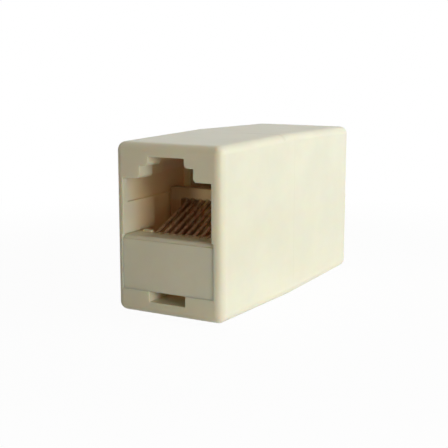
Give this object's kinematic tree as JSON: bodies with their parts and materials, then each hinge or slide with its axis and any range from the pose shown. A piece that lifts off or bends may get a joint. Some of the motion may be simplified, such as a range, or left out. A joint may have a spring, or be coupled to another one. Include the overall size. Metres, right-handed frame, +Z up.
{
  "type": "inline network cable coupler",
  "caption": "Inline coupler that joins two modular network plugs end to end, with a keyed socket of sprung contacts in each end of a drafted box housing.",
  "frame": {"origin": "under the middle of the body, at the height of the housing's lowest line", "axes": "+Z up, +Y along the body from the front socket to the rear socket, +X to the right of someone who looks into the front socket"},
  "size_m": [0.0146, 0.0364, 0.0206],
  "materials": {
    "housing_plastic": "ivory ABS, satin gloss with a fine moulded texture",
    "insert_plastic": "ivory ABS, satin gloss",
    "contact_gold": "gold-plated phosphor bronze spring wire",
    "splice_tin": "tin-plated crimp sleeve",
    "lead_blue": "blue PVC insulation",
    "lead_orange": "orange PVC insulation",
    "lead_black": "black PVC insulation",
    "lead_red": "red PVC insulation",
    "lead_green": "green PVC insulation",
    "lead_yellow": "yellow PVC insulation",
    "lead_brown": "brown PVC insulation",
    "lead_white": "white PVC insulation"
  },
  "bodies": {
    "root": {"housing": "housing_plastic", "front_insert": "insert_plastic", "rear_insert": "insert_plastic", "front_contact_1": "contact_gold", "front_splice_1": "splice_tin", "rear_contact_1": "contact_gold", "rear_splice_1": "splice_tin", "lead_1": "lead_blue", "front_contact_2": "contact_gold", "front_splice_2": "splice_tin", "rear_contact_2": "contact_gold", "rear_splice_2": "splice_tin", "lead_2": "lead_orange", "front_contact_3": "contact_gold", "front_splice_3": "splice_tin", "rear_contact_3": "contact_gold", "rear_splice_3": "splice_tin", "lead_3": "lead_black", "front_contact_4": "contact_gold", "front_splice_4": "splice_tin", "rear_contact_4": "contact_gold", "rear_splice_4": "splice_tin", "lead_4": "lead_red", "front_contact_5": "contact_gold", "front_splice_5": "splice_tin", "rear_contact_5": "contact_gold", "rear_splice_5": "splice_tin", "lead_5": "lead_green", "front_contact_6": "contact_gold", "front_splice_6": "splice_tin", "rear_contact_6": "contact_gold", "rear_splice_6": "splice_tin", "lead_6": "lead_yellow", "front_contact_7": "contact_gold", "front_splice_7": "splice_tin", "rear_contact_7": "contact_gold", "rear_splice_7": "splice_tin", "lead_7": "lead_brown", "front_contact_8": "contact_gold", "front_splice_8": "splice_tin", "rear_contact_8": "contact_gold", "rear_splice_8": "splice_tin", "lead_8": "lead_white"}
  },
  "joints": []
}
